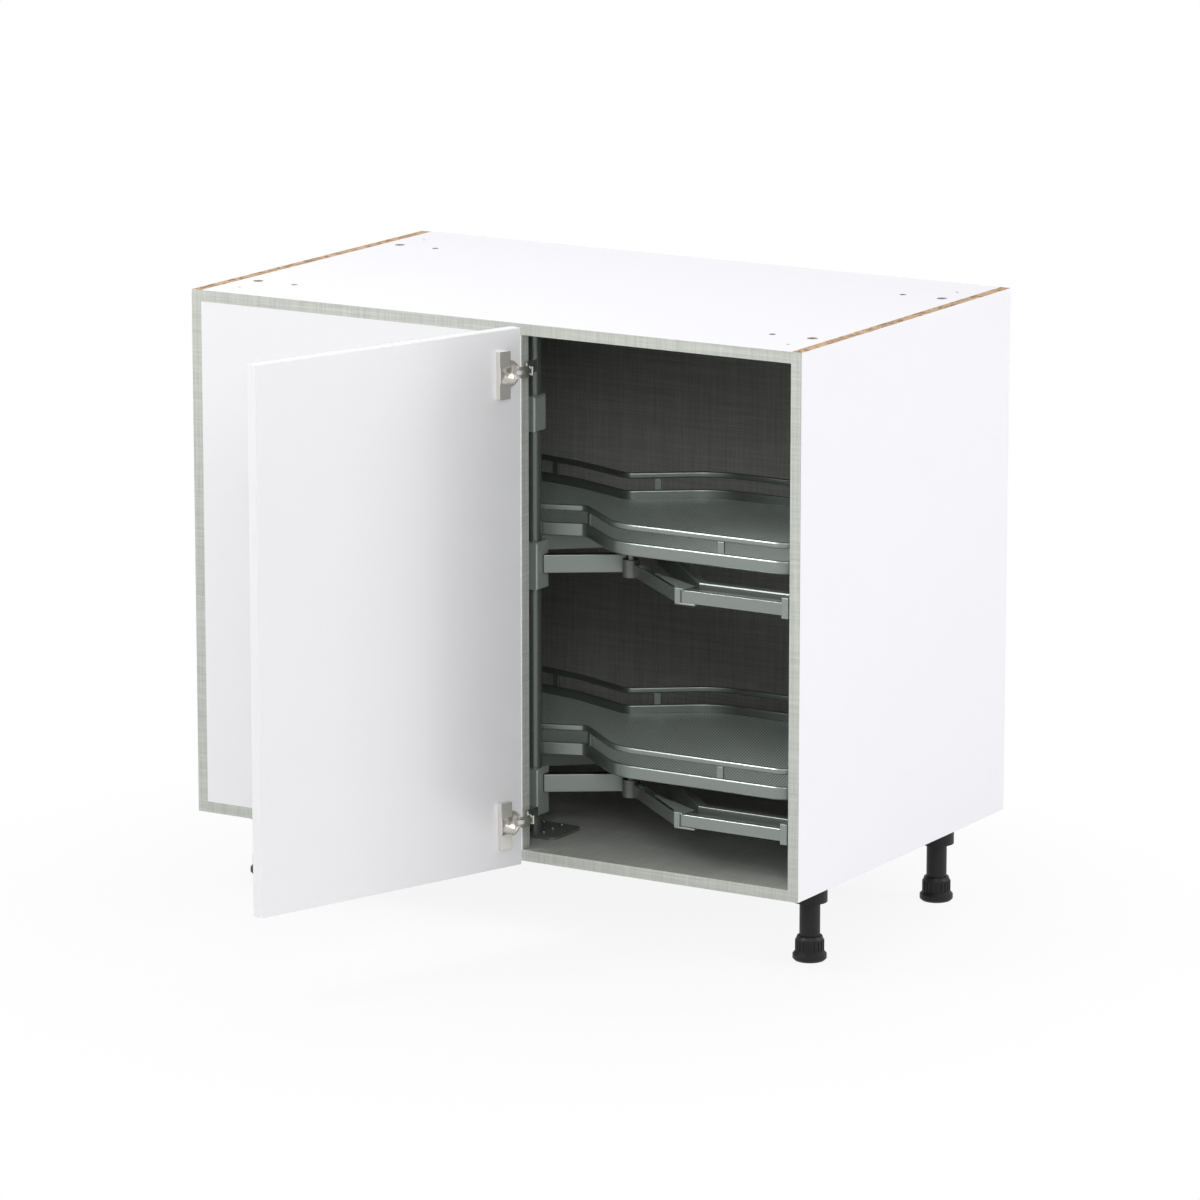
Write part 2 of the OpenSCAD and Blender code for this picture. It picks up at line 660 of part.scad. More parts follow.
module pole_plate(z) {
    color("darkslategray") at_pole() translate([0, 0, z]) difference() {
        linear_extrude(plate_t) plate_shape();
        translate([0, 0, -1]) cylinder(d = pole_d, h = plate_t + 2);
        for (s = [-1, 1], y = board_screw_ys) translate([s * board_screw_x, y, -1])
            cylinder(d = board_screw_d, h = plate_t + 2);
    }
}
module pole_floor_plate() {
    pole_plate(board_t);
}
module pole_top_plate() {
    pole_plate(pole_top - plate_t);
}
module pole_plate_screws() {
    color("silver") in_cabinet() {
        at_board_screws(board_t / 2 + 0.5, board_t / 2 + plate_t - 0.5);
        at_board_screws(pole_top - plate_t, plate_t + board_t / 2 - 0.5);
        for (z = [board_t + plate_t, pole_top - plate_t - board_screw_head[1]])
            translate([pole_x, pole_y, z]) for (s = [-1, 1], y = board_screw_ys)
                translate([s * board_screw_x, y, 0]) cylinder(d = board_screw_head[0], h = board_screw_head[1]);
    }
}
module pole() {
    color("darkslategray") at_pole() difference() {
        translate([0, 0, board_t]) cylinder(d = pole_d, h = pole_top - board_t);
        translate([0, 0, board_t - 1]) cylinder(d = pole_d - 2 * tube_wall, h = pole_top);
    }
}
module pole_stop_block() {
    half = sleeve_w / 2;
    z1 = pole_top - stop_drop;
    z0 = z1 - stop_h;
    color("gray") at_pole() difference() {
        intersection() {
            translate([0, 0, z0]) linear_extrude(stop_h)
                both_sides([[half - 2, -19], [half, -17], [half, 10], [half - 3, 13]]);
            translate([0, 15, 0]) rotate([90, 0, 0]) linear_extrude(36)
                both_sides([[half - 1.5, z0], [half, z0 + 1.5], [half, z1 - 2.5], [half - 2.5, z1]]);
        }
        cylinder(d = pole_d, h = carcass_h);
    }
}

// Half of the sleeve in plan: a wider front with a step behind it
sleeve_side = [[sleeve_w / 2 + 0.5, -17], [sleeve_w / 2 + 2, -15.5], [sleeve_w / 2 + 2, -6],
               [sleeve_w / 2 + 0.3, -5], [sleeve_w / 2, sleeve_d - 19], [sleeve_w / 2 - 2, sleeve_d - 17]];
module both_sides(pts) {
    last = len(pts) - 1;
    polygon(concat(pts, [for (i = [0 : last]) [-pts[last - i].x, pts[last - i].y]]));
}
// One tray set; drop is how far it sits below the upper one
module sleeve(drop, extra) {
    z0 = arm_z - 21.5 - drop - extra;
    front = [[sleeve_w / 2 + 0.5, z0], [sleeve_w / 2 + 2, z0 + 1.5], [sleeve_w / 2 + 2, z0 + bracket_h - 1.5],
             [sleeve_w / 2 + 0.5, z0 + bracket_h]];
    color("gray") at_pole() difference() {
        intersection() {
            translate([0, 0, z0]) linear_extrude(bracket_h) both_sides(sleeve_side);
            translate([0, sleeve_d, 0]) rotate([90, 0, 0]) linear_extrude(2 * sleeve_d) both_sides(front);
        }
        cylinder(d = pole_d + 2 * run_gap, h = carcass_h);
        translate([0, 0, arm_z - drop]) linear_extrude(arm_h)
            strip([0, 0], arm_len * [cos(arm_angle), sin(arm_angle)], arm_w);
    }
}
module swing_arm(drop) {
    tip = arm_len * [cos(arm_angle), sin(arm_angle)];
    start = (pole_d / 2 + 2) * [cos(arm_angle), sin(arm_angle)];
    color("lightslategray") at_pole() translate([0, 0, arm_z - drop]) {
        difference() {
            linear_extrude(arm_h) {
                strip(start, tip, arm_w);
                translate(tip) circle(d = arm_w);
                strip(tip, hub, arm_w - 2);
                translate(hub) circle(d = hub_d);
            }
            translate([hub.x, hub.y, hub_h - 4]) cylinder(d = hub_d - 5, h = 10);
            translate([hub.x, hub.y, -1]) cylinder(d = 7, h = arm_h + 2);
        }
    }
}
module hub_pin(drop) {
    color("wheat") at_pole() translate([hub.x, hub.y, arm_z + 2 - drop])
        cylinder(d = 7, h = tray_z - arm_z - 2);
}
module front_rail(drop) {
    start = front_rail_start - 4 * front_rail_run;
    color("lightslategray") at_pole() translate([0, 0, rail_z - drop]) difference() {
        linear_extrude(rail_bar_h) bent_strip([start, front_rail_bend, [rail_end, front_rail_y]], arm_w);
        translate([hub.x, hub.y, -1]) cylinder(d = hub_d, h = rail_bar_h + 2);
        translate([0, 0, rail_bar_h - 5]) linear_extrude(6) {
            strip(start + 16 * front_rail_run, front_rail_bend - 17 * front_rail_run, arm_w - 4);
            translate(front_rail_bend - 17 * front_rail_run) circle(d = arm_w - 4);
        }
    }
}
module cradle(drop) {
    path = [cradle_bend, cradle_apex, cradle_left];
    color("lightslategray") at_pole() translate([0, 0, arm_z - drop]) difference() {
        linear_extrude(arm_h) bent_strip(concat([[rail_end, cradle_y]], path, [cradle_tip]), arm_w);
        translate([0, 0, tube_wall]) linear_extrude(arm_h - 2 * tube_wall)
            bent_strip(concat([[rail_end + 1, cradle_y]], path, [cradle_tip - [1, 0]]),
                       arm_w - 2 * tube_wall);
    }
}
module end_cap(drop) {
    color("black") at_pole() translate([cradle_tip.x, cradle_y, arm_z - drop]) {
        translate([-cap_t, -arm_w / 2, 0]) cube([cap_t, arm_w, arm_h]);
        translate([0, tube_wall - arm_w / 2, tube_wall])
            cube([3 * cap_t, arm_w - 2 * tube_wall, arm_h - 2 * tube_wall]);
    }
}
// Bracket over the bend of the front rail, hooked round its front edge and reaching the cradle below
function rail_pt(run, off) = front_rail_bend + run * front_rail_run + off * side_of(front_rail_run);
saddle_t = 2.5;
saddle_lip = [front_rail_bend.x - 1, 8.5];
saddle_front = front_rail_y - arm_w / 2 - saddle_t;
saddle_plate = [rail_pt(-97.5, -0.5), rail_pt(-11.5, -1.2), [saddle_lip.x, saddle_front],
                [saddle_lip.x + 12.5, saddle_front], [saddle_lip.x + 17, saddle_front + 25],
                rail_pt(-45, 13.5)];
module saddle(drop) {
    front = saddle_front;
    color("gray") at_pole() translate([0, 0, rail_z - drop]) {
        translate([0, 0, rail_bar_h]) linear_extrude(saddle_t) polygon(saddle_plate);
        translate([saddle_lip[0], front, -saddle_t]) cube([saddle_lip[1], saddle_t, rail_bar_h + saddle_t]);
        translate([saddle_lip[0], front, -saddle_t]) cube([15, arm_w, saddle_t]);
        translate([saddle_lip[0] + 7, front, -saddle_t])
            cube([25, cradle_y - arm_w / 2 - front, saddle_t]);
    }
}
// Clip that joins both rails at the right end, with a lug that carries the tray
module end_clip(drop) {
    front = front_rail_y - arm_w / 2 - 2;
    color("gray") at_pole() translate([0, 0, -drop]) {
        translate([rail_end, front, arm_z - 1.5]) cube([clip_t, cradle_y + arm_w / 2 + 2 - front, arm_h + 3]);
        translate([rail_end, cradle_y + arm_w / 2, arm_z]) cube([clip_t, clip_lug, arm_h]);
        translate([rail_end - 14, cradle_y + arm_w / 2 + clip_lug - 16, arm_z]) {
            cube([14 + clip_t, 16, arm_h]);
            translate([0, 0, arm_h]) cube([12, 16, carrier_gap]);
        }
    }
}
module spacers(drop) {
    color("gray") at_pole() for (p = spacer_pts) translate([p.x, p.y, arm_z + arm_h - drop])
        cylinder(d = spacer_d, h = carrier_gap);
}
spacer_pts = [cradle_bend + 0.48 * (cradle_apex - cradle_bend), cradle_apex,
              cradle_left + 0.3 * (cradle_apex - cradle_left), cradle_left - [60, 0]];
module tray_floor(drop) {
    color("slategray") at_pole() translate([0, 0, tray_z - drop]) linear_extrude(tray_floor_t)
        polygon(outline(rim_t));
}
module ring(z, h) {
    translate([0, 0, z]) difference() {
        linear_extrude(h) polygon(outline(0));
        translate([0, 0, -1]) linear_extrude(h + 2) polygon(outline(rim_t));
    }
}
module tray_band(drop) {
    color("lightslategray") at_pole() translate([0, 0, -drop]) ring(tray_z, rim_band_h);
}
module posts(drop) {
    color("lightslategray") at_pole() translate([0, 0, tray_z + rim_band_h - drop]) for (post = tray_posts) {
        p = flat(corner(post[0])) + post[1] * (flat(corner(post[0] + 1)) - flat(corner(post[0])));
        translate([p.x, p.y, 0]) rotate(atan2(along(post[0]).y, along(post[0]).x))
            translate([-post_w / 2, 0.1 * rim_t, 0]) cube([post_w, 0.8 * rim_t, rim_gap_h]);
    }
}
module tray_rail(drop) {
    color("lightslategray") at_pole() translate([0, 0, -drop])
        ring(tray_z + rim_band_h + rim_gap_h, rim_rail_h);
}

module upper_sleeve() {
    sleeve(0, 0);
}
module upper_arm() {
    swing_arm(0);
}
module upper_hub_pin() {
    hub_pin(0);
}
module upper_front_rail() {
    front_rail(0);
}
module upper_cradle() {
    cradle(0);
}
module upper_saddle() {
    saddle(0);
}
module upper_end_clip() {
    end_clip(0);
}
module upper_end_cap() {
    end_cap(0);
}
module upper_spacers() {
    spacers(0);
}
module upper_tray_floor() {
    tray_floor(0);
}
module upper_tray_band() {
    tray_band(0);
}
module upper_tray_posts() {
    posts(0);
}
module upper_tray_rail() {
    tray_rail(0);
}
module lower_sleeve() {
    sleeve(tray_pitch, lower_sleeve_drop);
}
module lower_arm() {
    swing_arm(tray_pitch);
}
module lower_hub_pin() {
    hub_pin(tray_pitch);
}
module lower_front_rail() {
    front_rail(tray_pitch);
}
module lower_cradle() {
    cradle(tray_pitch);
}
module lower_saddle() {
    saddle(tray_pitch);
}
module lower_end_clip() {
    end_clip(tray_pitch);
}
module lower_end_cap() {
    end_cap(tray_pitch);
}
module lower_spacers() {
    spacers(tray_pitch);
}
module lower_tray_floor() {
    tray_floor(tray_pitch);
}
module lower_tray_band() {
    tray_band(tray_pitch);
}
module lower_tray_posts() {
    posts(tray_pitch);
}
module lower_tray_rail() {
    tray_rail(tray_pitch);
}

side_panel_left();
side_panel_right();
top_panel();
bottom_panel();
back_panel();
blind_panel();
edge_bands();
cam_discs();
cam_bolts();
wood_dowels();
leg_sockets();
leg_tubes();
leg_screws();
foot_front_left();
foot_front_right();
foot_back_left();
foot_back_right();
door_panel();
hinge_cups();
hinge_covers();
hinge_cup_screws();
hinge_cup_pins();
hinge_links();
hinge_arms();
hinge_plates();
hinge_plate_screws();
hinge_arm_pins();
pole();
pole_floor_plate();
pole_top_plate();
pole_plate_screws();
pole_stop_block();
upper_sleeve();
upper_arm();
upper_hub_pin();
upper_front_rail();
upper_cradle();
upper_saddle();
upper_end_clip();
upper_end_cap();
upper_spacers();
upper_tray_floor();
upper_tray_band();
upper_tray_posts();
upper_tray_rail();
lower_sleeve();
lower_arm();
lower_hub_pin();
lower_front_rail();
lower_cradle();
lower_saddle();
lower_end_clip();
lower_end_cap();
lower_spacers();
lower_tray_floor();
lower_tray_band();
lower_tray_posts();
lower_tray_rail();
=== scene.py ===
import bpy
import bmesh
import json
import math
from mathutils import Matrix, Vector


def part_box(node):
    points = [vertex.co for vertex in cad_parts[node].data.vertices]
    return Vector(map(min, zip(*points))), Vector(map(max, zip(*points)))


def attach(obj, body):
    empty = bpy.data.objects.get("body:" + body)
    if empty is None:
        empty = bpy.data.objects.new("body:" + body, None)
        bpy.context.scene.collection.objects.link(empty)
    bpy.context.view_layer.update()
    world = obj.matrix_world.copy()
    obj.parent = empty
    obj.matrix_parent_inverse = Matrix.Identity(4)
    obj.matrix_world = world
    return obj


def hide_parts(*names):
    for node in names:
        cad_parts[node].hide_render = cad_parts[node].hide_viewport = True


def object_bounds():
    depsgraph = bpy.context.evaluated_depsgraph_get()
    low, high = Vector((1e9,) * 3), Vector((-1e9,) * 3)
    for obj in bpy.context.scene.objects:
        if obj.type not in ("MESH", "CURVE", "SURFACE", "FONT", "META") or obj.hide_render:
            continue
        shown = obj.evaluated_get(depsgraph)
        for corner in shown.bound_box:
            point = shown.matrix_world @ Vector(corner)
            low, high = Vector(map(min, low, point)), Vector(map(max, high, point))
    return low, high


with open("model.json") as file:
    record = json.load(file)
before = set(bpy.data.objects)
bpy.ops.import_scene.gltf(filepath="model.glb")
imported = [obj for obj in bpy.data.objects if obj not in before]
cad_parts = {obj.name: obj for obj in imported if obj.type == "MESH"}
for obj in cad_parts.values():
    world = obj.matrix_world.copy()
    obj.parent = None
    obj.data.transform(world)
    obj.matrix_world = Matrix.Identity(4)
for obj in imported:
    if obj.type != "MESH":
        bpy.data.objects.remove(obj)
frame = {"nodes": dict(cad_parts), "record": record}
cad_box = [list(corner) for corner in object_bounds()]

MM = 0.001

# Meshes
WELD = 2e-6                      # corners closer than this become one
FLAT = math.radians(0.3)         # faces that meet at less than this become one
CREASE = math.radians(32.0)      # edges sharper than this are rounded
THIN_SHARE = 0.3                 # share of the rounding that a thin wall takes
FACING = 0.7                     # a normal's part along an axis from which a face looks that way
ON_FACE = 0.5 * MM               # how near a face a point still lies on it
EVEN_WEIGHT = 60                 # how strongly large faces lead the shading

# Stage
WORLD_LIGHT = 0.56               # strength of the world's light that falls on things
FLOOR_REACH = 40.0               # from its middle to its sides
FLOOR_GAP = 0.4 * MM             # between the floor and the feet
FLOOR_GREY = 0.72
FADE_START, FADE_END = 0.50, 1.05    # distances from the floor's middle
WHITE_NEAR, WHITE_FAR = 0.88, 1.0    # share of plain white in the floor at those distances

# Camera, fitted to the photo
CAMERA_AT = (4.62076, -7.45225, 2.39985)
CAMERA_TURN = math.radians(31.058)
CAMERA_DIP = math.radians(12.436)
CAMERA_LENS = 192.2
CAMERA_SENSOR = 36.0
CAMERA_REACH = 200.0

# Places of a Mix node's colour sockets
MIX_FACTOR, MIX_LOW, MIX_HIGH, MIX_RESULT = 0, 6, 7, 2


def new_group(name, inputs, outputs):
    """An empty shader group; inputs are (name, socket type, default), outputs (name, socket type)."""
    group = bpy.data.node_groups.new(name, "ShaderNodeTree")
    for label, kind, default in inputs:
        socket = group.interface.new_socket(name=label, in_out="INPUT", socket_type=kind)
        socket.default_value = default
    for label, kind in outputs:
        group.interface.new_socket(name=label, in_out="OUTPUT", socket_type=kind)
    start = group.nodes.new("NodeGroupInput")
    end = group.nodes.new("NodeGroupOutput")
    return group, start, end


def add(tree, kind, **values):
    """A node of a kind, with its input values."""
    node = tree.nodes.new(kind)
    for key, value in values.items():
        node.inputs[key].default_value = value
    return node


def maths(tree, operation, first, second=None):
    """The output of a Math node; first and second are numbers or outputs."""
    node = tree.nodes.new("ShaderNodeMath")
    node.operation = operation
    for index, value in enumerate((first, second)):
        if isinstance(value, (int, float)):
            node.inputs[index].default_value = value
        elif value is not None:
            tree.links.new(value, node.inputs[index])
    return node.outputs[0]


def total(tree, first, second):
    return maths(tree, "ADD", first, second)


def product(tree, first, second):
    return maths(tree, "MULTIPLY", first, second)


def difference(tree, first, second):
    return maths(tree, "SUBTRACT", first, second)


def mixed(tree, factor, low, high):
    """The colour low where the factor is 0 and the colour high where it is 1."""
    node = tree.nodes.new("ShaderNodeMix")
    node.data_type = "RGBA"
    tree.links.new(factor, node.inputs[MIX_FACTOR])
    tree.links.new(low, node.inputs[MIX_LOW])
    tree.links.new(high, node.inputs[MIX_HIGH])
    return node.outputs[MIX_RESULT]


def place(tree, scale):
    """Object coordinates, stretched by scale on each axis."""
    where = tree.nodes.new("ShaderNodeTexCoord")
    grow = add(tree, "ShaderNodeMapping", Scale=scale)
    tree.links.new(where.outputs["Object"], grow.inputs["Vector"])
    return grow.outputs["Vector"]


def noise(tree, vector, scale, detail):
    node = add(tree, "ShaderNodeTexNoise", Scale=scale, Detail=detail)
    tree.links.new(vector, node.inputs["Vector"])
    return node.outputs["Fac"]


def cells(tree, vector, scale):
    """Cells of one colour each."""
    node = tree.nodes.new("ShaderNodeTexVoronoi")
    tree.links.new(vector, node.inputs["Vector"])
    tree.links.new(scale, node.inputs["Scale"])
    return node.outputs["Color"]


def spread(tree, value, low, high, out_low=0.0, out_high=1.0):
    """The value, stretched from the range low to high onto out_low to out_high, and kept in it."""
    node = tree.nodes.new("ShaderNodeMapRange")
    tree.links.new(value, node.inputs["Value"])
    node.inputs["From Min"].default_value = low
    node.inputs["From Max"].default_value = high
    node.inputs["To Min"].default_value = out_low
    node.inputs["To Max"].default_value = out_high
    return node.outputs["Result"]


def linen_group():
    """Woven linen print: fine crossing threads that come and go along their length."""
    group, start, end = new_group("linen_weave",
        [("Light", "NodeSocketColor", (0.6, 0.6, 0.58, 1)),
         ("Dark", "NodeSocketColor", (0.4, 0.4, 0.38, 1))],
        [("Colour", "NodeSocketColor"), ("Height", "NodeSocketFloat")])
    across, along = 1500, 26     # threads, and their changes of tone, per metre
    broad_share, fine_weight, broad_weight = 0.28, 0.6, 0.4
    palest, darkest = 1.26, 0.74
    threads = []
    for scale in ((along, along, across), (across, along, along), (along, across, along)):
        broad_scale = tuple(number * broad_share for number in scale)
        fine = noise(group, place(group, scale), scale=1.0, detail=1.0)
        broad = noise(group, place(group, broad_scale), scale=1.0, detail=0.0)
        threads.append(total(group, product(group, fine, fine_weight), product(group, broad, broad_weight)))
    surface = group.nodes.new("ShaderNodeNewGeometry")
    split = group.nodes.new("ShaderNodeSeparateXYZ")
    group.links.new(surface.outputs["True Normal"], split.inputs[0])
    facing = [maths(group, "ABSOLUTE", split.outputs[axis]) for axis in range(3)]
    # A thread direction is left out on the face that looks along it
    keep_z, keep_x, keep_y = (difference(group, 1.0, facing[axis]) for axis in (2, 0, 1))
    level_pair = total(group, product(group, threads[1], keep_x), product(group, threads[2], keep_y))
    woven = total(group, product(group, threads[0], keep_z), level_pair)
    weave = spread(group, woven, darkest, palest)
    colour = mixed(group, weave, start.outputs["Dark"], start.outputs["Light"])
    group.links.new(colour, end.inputs["Colour"])
    group.links.new(weave, end.inputs["Height"])
    return group


def skin_group():
    """Fine orange-peel of paint, lacquer or moulded plastic, with a faint change of tone."""
    group, start, end = new_group("fine_skin",
        [("Colour", "NodeSocketColor", (0.5, 0.5, 0.5, 1)), ("Tone", "NodeSocketFloat", 0.06),
         ("Grain", "NodeSocketFloat", 900.0), ("Gloss", "NodeSocketFloat", 0.4),
         ("Gloss Change", "NodeSocketFloat", 0.08)],
        [("Colour", "NodeSocketColor"), ("Roughness", "NodeSocketFloat"), ("Height", "NodeSocketFloat")])
    clouds_per_metre = 9.0
    here = place(group, (1, 1, 1))
    cloudy = noise(group, here, scale=clouds_per_metre, detail=3.0)
    fine = add(group, "ShaderNodeTexNoise", Detail=2.0)
    group.links.new(here, fine.inputs["Vector"])
    group.links.new(start.outputs["Grain"], fine.inputs["Scale"])
    shift = product(group, difference(group, cloudy, 0.5), start.outputs["Tone"])
    toned = group.nodes.new("ShaderNodeVectorMath")
    toned.operation = "SCALE"
    group.links.new(start.outputs["Colour"], toned.inputs[0])
    group.links.new(total(group, 1.0, shift), toned.inputs["Scale"])
    group.links.new(toned.outputs[0], end.inputs["Colour"])
    change = product(group, difference(group, fine.outputs["Fac"], 0.5), start.outputs["Gloss Change"])
    group.links.new(total(group, start.outputs["Gloss"], change), end.inputs["Roughness"])
    group.links.new(fine.outputs["Fac"], end.inputs["Height"])
    return group


def chip_group():
    """Raw chipboard: pressed wood flakes in several browns."""
    group, start, end = new_group("pressed_flakes", [("Scale", "NodeSocketFloat", 420.0)],
        [("Colour", "NodeSocketColor"), ("Height", "NodeSocketFloat")])
    flake_stretch = (0.5, 0.28, 1.0)
    flakes = cells(group, place(group, flake_stretch), start.outputs["Scale"])
    browns = group.nodes.new("ShaderNodeValToRGB")
    ramp = browns.color_ramp
    ramp.elements[0].position = 0.05
    ramp.elements[0].color = (0.23, 0.13, 0.065, 1)
    ramp.elements[1].position = 0.85
    ramp.elements[1].color = (0.57, 0.39, 0.24, 1)
    ramp.elements.new(0.35).color = (0.41, 0.26, 0.145, 1)
    split = group.nodes.new("ShaderNodeSeparateXYZ")
    group.links.new(flakes, split.inputs[0])
    group.links.new(split.outputs[0], browns.inputs["Fac"])
    group.links.new(browns.outputs["Color"], end.inputs["Colour"])
    group.links.new(split.outputs[1], end.inputs["Height"])
    return group


def grip_group():
    """Anti-slip tray lining: small raised lozenges in crossing rows, seen from above."""
    group, start, end = new_group("lozenge_grip",
        [("Ground", "NodeSocketColor", (0.2, 0.22, 0.2, 1)),
         ("Raised", "NodeSocketColor", (0.3, 0.32, 0.3, 1)),
         ("Across", "NodeSocketFloat", 300.0), ("Deep", "NodeSocketFloat", 80.0)],
        [("Colour", "NodeSocketColor"), ("Height", "NodeSocketFloat")])
    rib_foot, rib_crest = -0.6, 0.45     # where a rib starts and where its flat top does, on the wave
    where = group.nodes.new("ShaderNodeTexCoord")
    split = group.nodes.new("ShaderNodeSeparateXYZ")
    group.links.new(where.outputs["Object"], split.inputs[0])
    x = product(group, split.outputs[0], start.outputs["Across"])
    y = product(group, split.outputs[1], start.outputs["Deep"])
    ribs = []
    for slant in ("ADD", "SUBTRACT"):
        wave = maths(group, "SINE", product(group, maths(group, slant, x, y), math.tau))
        ribs.append(spread(group, wave, rib_foot, rib_crest))
    height = product(group, total(group, ribs[0], ribs[1]), 0.5)
    colour = mixed(group, height, start.outputs["Ground"], start.outputs["Raised"])
    group.links.new(colour, end.inputs["Colour"])
    group.links.new(height, end.inputs["Height"])
    return group


def rolled_group():
    """Long fine lines of rolled or brushed metal; Stretch is how many there are per metre on each axis."""
    group, start, end = new_group("rolled_lines",
        [("Stretch", "NodeSocketVector", (1, 1, 1)), ("Gloss", "NodeSocketFloat", 0.3),
         ("Gloss Change", "NodeSocketFloat", 0.15)],
        [("Roughness", "NodeSocketFloat"), ("Height", "NodeSocketFloat")])
    where = group.nodes.new("ShaderNodeTexCoord")
    stretched = group.nodes.new("ShaderNodeVectorMath")
    stretched.operation = "MULTIPLY"
    group.links.new(where.outputs["Object"], stretched.inputs[0])
    group.links.new(start.outputs["Stretch"], stretched.inputs[1])
    lines = noise(group, stretched.outputs[0], scale=1.0, detail=3.0)
    change = product(group, difference(group, lines, 0.5), start.outputs["Gloss Change"])
    group.links.new(total(group, start.outputs["Gloss"], change), end.inputs["Roughness"])
    group.links.new(lines, end.inputs["Height"])
    return group


LINEN = linen_group()
SKIN = skin_group()
CHIP = chip_group()
GRIP = grip_group()
ROLLED = rolled_group()


def material(name, **plain):
    """A material with its Principled shader; plain values are set on the shader's own sockets."""
    made = bpy.data.materials.new(name)
    made.use_nodes = True
    shader = made.node_tree.nodes["Principled BSDF"]
    for key, value in plain.items():
        shader.inputs[key.replace("_", " ")].default_value = value
    return made, made.node_tree, shader


def use(tree, group, **values):
    """The group, placed in a material with the material's own values."""
    node = tree.nodes.new("ShaderNodeGroup")
    node.node_tree = group
    for key, value in values.items():
        node.inputs[key.replace("_", " ")].default_value = value
    return node


def bump(tree, shader, height, strength, distance):
    node = add(tree, "ShaderNodeBump", Strength=strength, Distance=distance)
    tree.links.new(height, node.inputs["Height"])
    tree.links.new(node.outputs["Normal"], shader.inputs["Normal"])


def skinned(name, colour, gloss, grain, tone=0.06, change=0.08, depth=0.02 * MM, **plain):
    """Paint, lacquer or moulded plastic; grain is the number of dimples per metre."""
    made, tree, shader = material(name, **plain)
    skin = use(tree, SKIN, Colour=(*colour, 1), Tone=tone, Grain=grain, Gloss=gloss, Gloss_Change=change)
    tree.links.new(skin.outputs["Colour"], shader.inputs["Base Color"])
    tree.links.new(skin.outputs["Roughness"], shader.inputs["Roughness"])
    bump(tree, shader, skin.outputs["Height"], strength=0.3, distance=depth)
    return made


def linen(name, light, dark):
    made, tree, shader = material(name, Roughness=0.5)
    weave = use(tree, LINEN, Light=(*light, 1), Dark=(*dark, 1))
    tree.links.new(weave.outputs["Colour"], shader.inputs["Base Color"])
    bump(tree, shader, weave.outputs["Height"], strength=0.35, distance=0.05 * MM)
    return made


def metal(name, colour, gloss, lines, change, metallic):
    """Bare or painted metal; lines is how many rolled lines there are per metre on each axis."""
    made, tree, shader = material(name, Metallic=metallic)
    rolled = use(tree, ROLLED, Stretch=lines, Gloss=gloss, Gloss_Change=change)
    skin = use(tree, SKIN, Colour=(*colour, 1), Tone=0.08)
    tree.links.new(skin.outputs["Colour"], shader.inputs["Base Color"])
    tree.links.new(rolled.outputs["Roughness"], shader.inputs["Roughness"])
    bump(tree, shader, rolled.outputs["Height"], strength=0.1, distance=0.02 * MM)
    return made


def flaked(name, flakes_per_metre):
    made, tree, shader = material(name, Roughness=0.85)
    flakes = use(tree, CHIP, Scale=flakes_per_metre)
    tree.links.new(flakes.outputs["Colour"], shader.inputs["Base Color"])
    bump(tree, shader, flakes.outputs["Height"], strength=0.5, distance=0.2 * MM)
    return made


def lining():
    made, tree, shader = material("tray_lining", Roughness=0.46, Metallic=0.15)
    grip = use(tree, GRIP, Ground=(0.165, 0.190, 0.175, 1), Raised=(0.83, 0.905, 0.86, 1),
               Across=230.0, Deep=68.0)
    tree.links.new(grip.outputs["Colour"], shader.inputs["Base Color"])
    bump(tree, shader, grip.outputs["Height"], strength=0.5, distance=0.2 * MM)
    return made


# Boards
white_melamine = skinned("white_melamine", (0.85, 0.843, 0.882), gloss=0.42, grain=1500.0, tone=0.01,
                         depth=0.01 * MM)
gloss_lacquer = skinned("gloss_lacquer", (0.80, 0.797, 0.816), gloss=0.22, grain=260.0, tone=0.006,
                        change=0.02, depth=0.004 * MM, Coat_Weight=1.0, Coat_Roughness=0.16, Coat_IOR=1.65,
                        Specular_IOR_Level=0.75)
linen_edge = linen("linen_edge", light=(0.55, 0.57, 0.53), dark=(0.39, 0.41, 0.37))
# The inside linen is the edge linen darkened: painted shade for the cabinet's inside faces.
linen_painted_shade_inside = linen("linen_painted_shade_inside", light=(0.44, 0.45, 0.425), dark=(0.31, 0.32, 0.30))
# The back linen is the edge linen darkened further: painted shade for the deep back wall.
linen_painted_deep_shade_back = linen("linen_painted_deep_shade_back", light=(0.40, 0.395, 0.375), dark=(0.26, 0.258, 0.246))
raw_chipboard = flaked("raw_chipboard", flakes_per_metre=420.0)
raw_beech = flaked("raw_beech", flakes_per_metre=900.0)

# Painted fittings
# The sleeves and the stop block take the fitting paint made lighter: painted light on these parts.
fitting_paint_painted_light = metal("fitting_paint_painted_light", (0.36, 0.40, 0.372), gloss=0.36, lines=(220.0, 220.0, 30.0),
                   change=0.10, metallic=0.3)
fitting_paint = metal("fitting_paint", (0.235, 0.262, 0.243), gloss=0.34, lines=(220.0, 220.0, 30.0),
                      change=0.10, metallic=0.4)
rim_paint = metal("rim_paint", (0.222, 0.248, 0.230), gloss=0.32, lines=(60.0, 60.0, 500.0),
                  change=0.08, metallic=0.75)
bar_paint = metal("bar_paint", (0.235, 0.262, 0.244), gloss=0.24, lines=(60.0, 60.0, 600.0),
                  change=0.08, metallic=0.65)
cradle_paint = metal("cradle_paint", (0.15, 0.167, 0.156), gloss=0.34, lines=(60.0, 60.0, 600.0),
                     change=0.08, metallic=0.6)
hub_paint = metal("hub_paint", (0.135, 0.140, 0.134), gloss=0.42, lines=(60.0, 60.0, 600.0),
                  change=0.08, metallic=0.3)
pole_paint = metal("pole_paint", (0.14, 0.155, 0.145), gloss=0.25, lines=(500.0, 500.0, 8.0),
                   change=0.10, metallic=0.5)
plate_paint = skinned("plate_paint", (0.13, 0.145, 0.135), gloss=0.42, grain=1200.0, Metallic=0.2)
tray_lining = lining()

